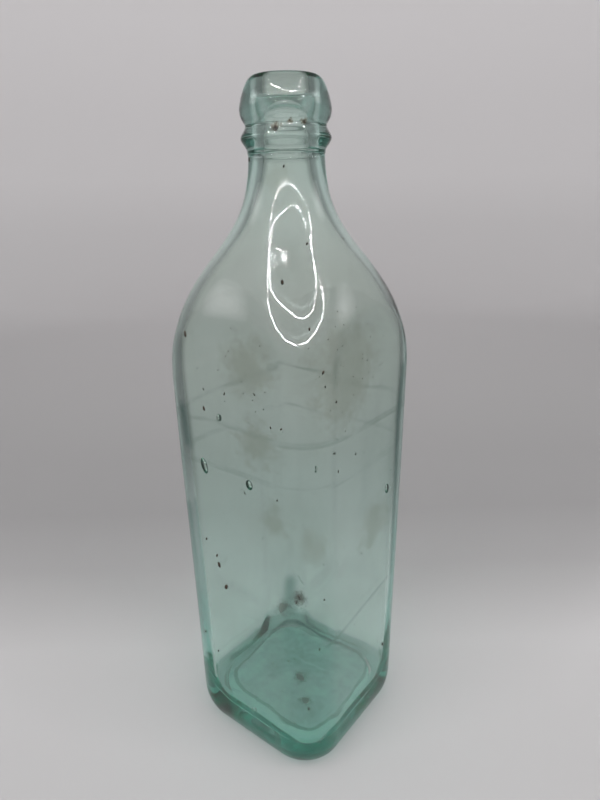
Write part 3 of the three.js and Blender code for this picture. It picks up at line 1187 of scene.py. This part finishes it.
def shadeRamp(tree, source, shades):
    # shades along a length in metres, as a ramp from the first to the last
    low, high = shades[0][0], shades[-1][0]
    span = rangeNode(tree, source, low, high)
    stops = [((place - low) / (high - low), (shade, shade, shade, 1)) for place, shade in shades]
    return rampNode(tree, span, stops)


def bentLight(tree):
    # 1 for what the glass bends or mirrors
    path = addNode(tree, "ShaderNodeLightPath")
    return path, mathNode(tree, "MAXIMUM", (path, "Is Transmission Ray"), (path, "Is Glossy Ray"))


def floorMaterial():
    material, tree = newMaterial("paleFloor")
    place = addNode(tree, "ShaderNodeTexCoord")
    ahead, _ = levelDirections(cameraPlace["azimuth"])
    away = (vectorNode(tree, "DOT_PRODUCT", (place, "Object"), ahead[:]), "Value")
    parts = splitVector(tree, (place, "Object"))
    # painted light and shade over the floor and up the wall
    floor = shadeRamp(tree, away, studio["floorShades"])
    wall = shadeRamp(tree, (parts, "Z"), studio["wallShades"])
    plain = mixColours(tree, 1.0, floor, wall, "MULTIPLY")
    tinted = mixColours(tree, 1.0, plain, studio["tint"], "MULTIPLY")

    # outside the camera's view the floor and wall are painted darker for what the glass bends and mirrors,
    # as if the studio were open and dark there
    flat = vectorNode(tree, "MULTIPLY", (place, "Object"), (1.0, 1.0, 0.0))
    radius = (vectorNode(tree, "LENGTH", flat), "Value")
    facing = mathNode(tree, "DIVIDE", away, radius)
    aside = rangeNode(tree, facing, *studio["openAside"])
    far = rangeNode(tree, radius, studio["openFrom"], studio["openTo"])
    _, bent = bentLight(tree)
    dark = mathNode(tree, "MULTIPLY", bent, mathNode(tree, "MULTIPLY", aside, far))
    openShade = (studio["openShade"],) * 3 + (1,)
    node, socket = mixColours(tree, dark, tinted, openShade, "MULTIPLY")
    shader = tree.nodes["Principled BSDF"]
    tree.links.new(node.outputs[socket], shader.inputs["Base Color"])
    shader.inputs["Roughness"].default_value = studio["roughness"]
    return material


def makeStudio():
    rim, around = studio["floorRadius"] + studio["bend"], studio["around"]
    profile = [(studio["floorRadius"], 0.0)]
    for i in range(1, studio["bendSteps"] + 1):
        turn = i / studio["bendSteps"] * math.pi / 2
        out, rise = math.sin(turn), 1 - math.cos(turn)
        profile.append((studio["floorRadius"] + studio["bend"] * out, studio["bend"] * rise))
    profile.append((rim, studio["wallHeight"]))
    points, faces = [(0.0, 0.0, 0.0)], []
    for radius, z in profile:
        for i in range(around):
            angle = i / around * 2 * math.pi
            points.append((radius * math.cos(angle), radius * math.sin(angle), z))
    for i in range(around):
        faces.append((0, 1 + i, 1 + (i + 1) % around))
    for j in range(len(profile) - 1):
        for i in range(around):
            a, b = 1 + j * around + i, 1 + j * around + (i + 1) % around
            faces.append((a, a + around, b + around, b))
    data = bpy.data.meshes.new("floor")
    data.from_pydata(points, [], faces)
    data.shade_smooth()
    floor = addObject("floor", data)
    data.materials.append(floorMaterial())
    floor.location.z = -studio["clearance"]


def makeWorld():
    # the camera sees a pale sky above the wall; the glass sees a dimmer one, and the floor a dim room
    world = bpy.data.worlds.new("studio")
    world.use_nodes = True
    tree = world.node_tree
    path, bent = bentLight(tree)
    room = mixColours(tree, bent, studio["roomColour"], studio["bentColour"])
    node, socket = mixColours(tree, (path, "Is Camera Ray"), room, studio["skyColour"])
    tree.links.new(node.outputs[socket], tree.nodes["Background"].inputs["Color"])
    bpy.context.scene.world = world


# Lamps: a closed string of small lamps in front of the bottle and a short open one, which both
# faces of the shoulder mirror as beaded lines, a broad dim lamp overhead, and a soft one at each
# side. The strings' places are ahead of the bottle, to its right and above the floor, in metres.
lamps = {
    "boxSize": 1.6,
    "boxHeight": 1.6,
    "boxPower": 8.5,
    "strings": [
        [(-0.94, -0.02, 0.59), (-0.88, -0.30, 0.63), (-0.73, -0.50, 0.71), (-0.58, -0.58, 0.80),
         (-0.46, -0.60, 0.89), (-0.33, -0.56, 0.98), (-0.24, -0.53, 1.03), (-0.20, -0.50, 1.05),
         (-0.24, -0.48, 1.05), (-0.30, -0.50, 1.02), (-0.39, -0.51, 0.98), (-0.48, -0.45, 0.96),
         (-0.59, -0.35, 0.95), (-0.68, -0.19, 0.93), (-0.74, -0.04, 0.89), (-0.75, 0.16, 0.86),
         (-0.68, 0.36, 0.87), (-0.57, 0.45, 0.90), (-0.46, 0.50, 0.95), (-0.34, 0.52, 0.99),
         (-0.25, 0.52, 1.02), (-0.19, 0.51, 1.05), (-0.16, 0.49, 1.06), (-0.15, 0.51, 1.06),
         (-0.18, 0.54, 1.04), (-0.22, 0.62, 0.97), (-0.33, 0.68, 0.88), (-0.49, 0.68, 0.78),
         (-0.71, 0.53, 0.70), (-0.87, 0.31, 0.63), (-0.94, -0.02, 0.59)],
        [(-0.24, -0.51, 1.04), (-0.30, -0.32, 1.11), (-0.33, -0.08, 1.15), (-0.29, -0.29, 1.12),
         (-0.22, -0.48, 1.06)],
    ],
    "beadStep": [0.010, 0.008],
    "beadSize": [0.006, 0.002],
    "beadGlow": 730.0,
    "sideAway": 1.1,
    "sideStep": 0.01,
    "sideHeight": 0.72,
    "sideWidth": 0.7,
    "sideLength": 0.45,
    "sidePower": 0.5,
    "sideRings": 4,
}


def areaLamp(name, place, width, length, power, shape="RECTANGLE"):
    # a flat lamp that shines from its place towards the middle of the bottle
    data = bpy.data.lights.new(name, "AREA")
    data.shape = shape
    data.size, data.size_y = width, length
    data.energy = power
    lamp = addObject(name, data)
    lamp.location = place
    lamp.rotation_mode = "QUATERNION"
    lamp.rotation_quaternion = (upwards * (height / 2) - place).to_track_quat("-Z", "Y")
    lamp.visible_camera = False
    lamp.visible_transmission = False
    return lamp


def stringPlaces(outline, step):
    # evenly spaced places along a string of straight pieces
    places, done, due = [], 0.0, 0.0
    for a, b in zip(outline, outline[1:]):
        length = math.dist(a, b)
        while due < done + length:
            places.append(Vector(a).lerp(Vector(b), (due - done) / length))
            due += step
        done += length
    return places


def makeLamps():
    ahead, right = levelDirections(cameraPlace["azimuth"])
    size = lamps["boxSize"]
    box = areaLamp("softBox", upwards * lamps["boxHeight"], size, size, lamps["boxPower"])
    box.visible_glossy = False
    for way in (-1, 1):
        # lamps one behind another, each wider, so that the light fades out to the rim
        for i in range(lamps["sideRings"]):
            grow = (i + 1) / lamps["sideRings"]
            away = lamps["sideAway"] + lamps["sideStep"] * i
            place = right * away * way + upwards * lamps["sideHeight"]
            width, length = lamps["sideWidth"] * grow, lamps["sideLength"] * grow
            areaLamp("sideLamp", place, width, length, lamps["sidePower"] * grow ** 2, "ELLIPSE")
    for outline, step, size in zip(lamps["strings"], lamps["beadStep"], lamps["beadSize"]):
        for bead in stringPlaces(outline, step):
            place = ahead * bead.x + right * bead.y + upwards * bead.z
            areaLamp("beadLamp", place, size, size, lamps["beadGlow"] * size * size)


makeCamera()
makeStudio()
makeWorld()
makeLamps()
print("studio ready")

groups = {
    "softSpot": softSpotGroup(),
    "scratchAndShadeLine": scratchAndShadeGroup(),
    "tideLine": tideLineGroup(),
    "baseMottleAndShade": baseMottleAndShadeGroup(),
    "clouding": cloudingGroup(),
}
for piece, node, slot, look in (
    (makeBody(), "bottle_body", "body_glass", bodyGlass),
    (makeLip(), "applied_lip", "lip_glass", lipGlass),
):
    applyTree(piece, glassTree(glassMaterial(slot, look, groups)), ripples)
    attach(piece, "root")
    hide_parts(node)
grit = makeSpecks()
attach(grit, "root")
print("bottle ready")

bpy.context.scene.view_settings.view_transform = "Standard"

# light goes to and fro many times in the thick base
bpy.context.scene.cycles.max_bounces = 32
bpy.context.scene.cycles.glossy_bounces = 32
bpy.context.scene.cycles.transmission_bounces = 32
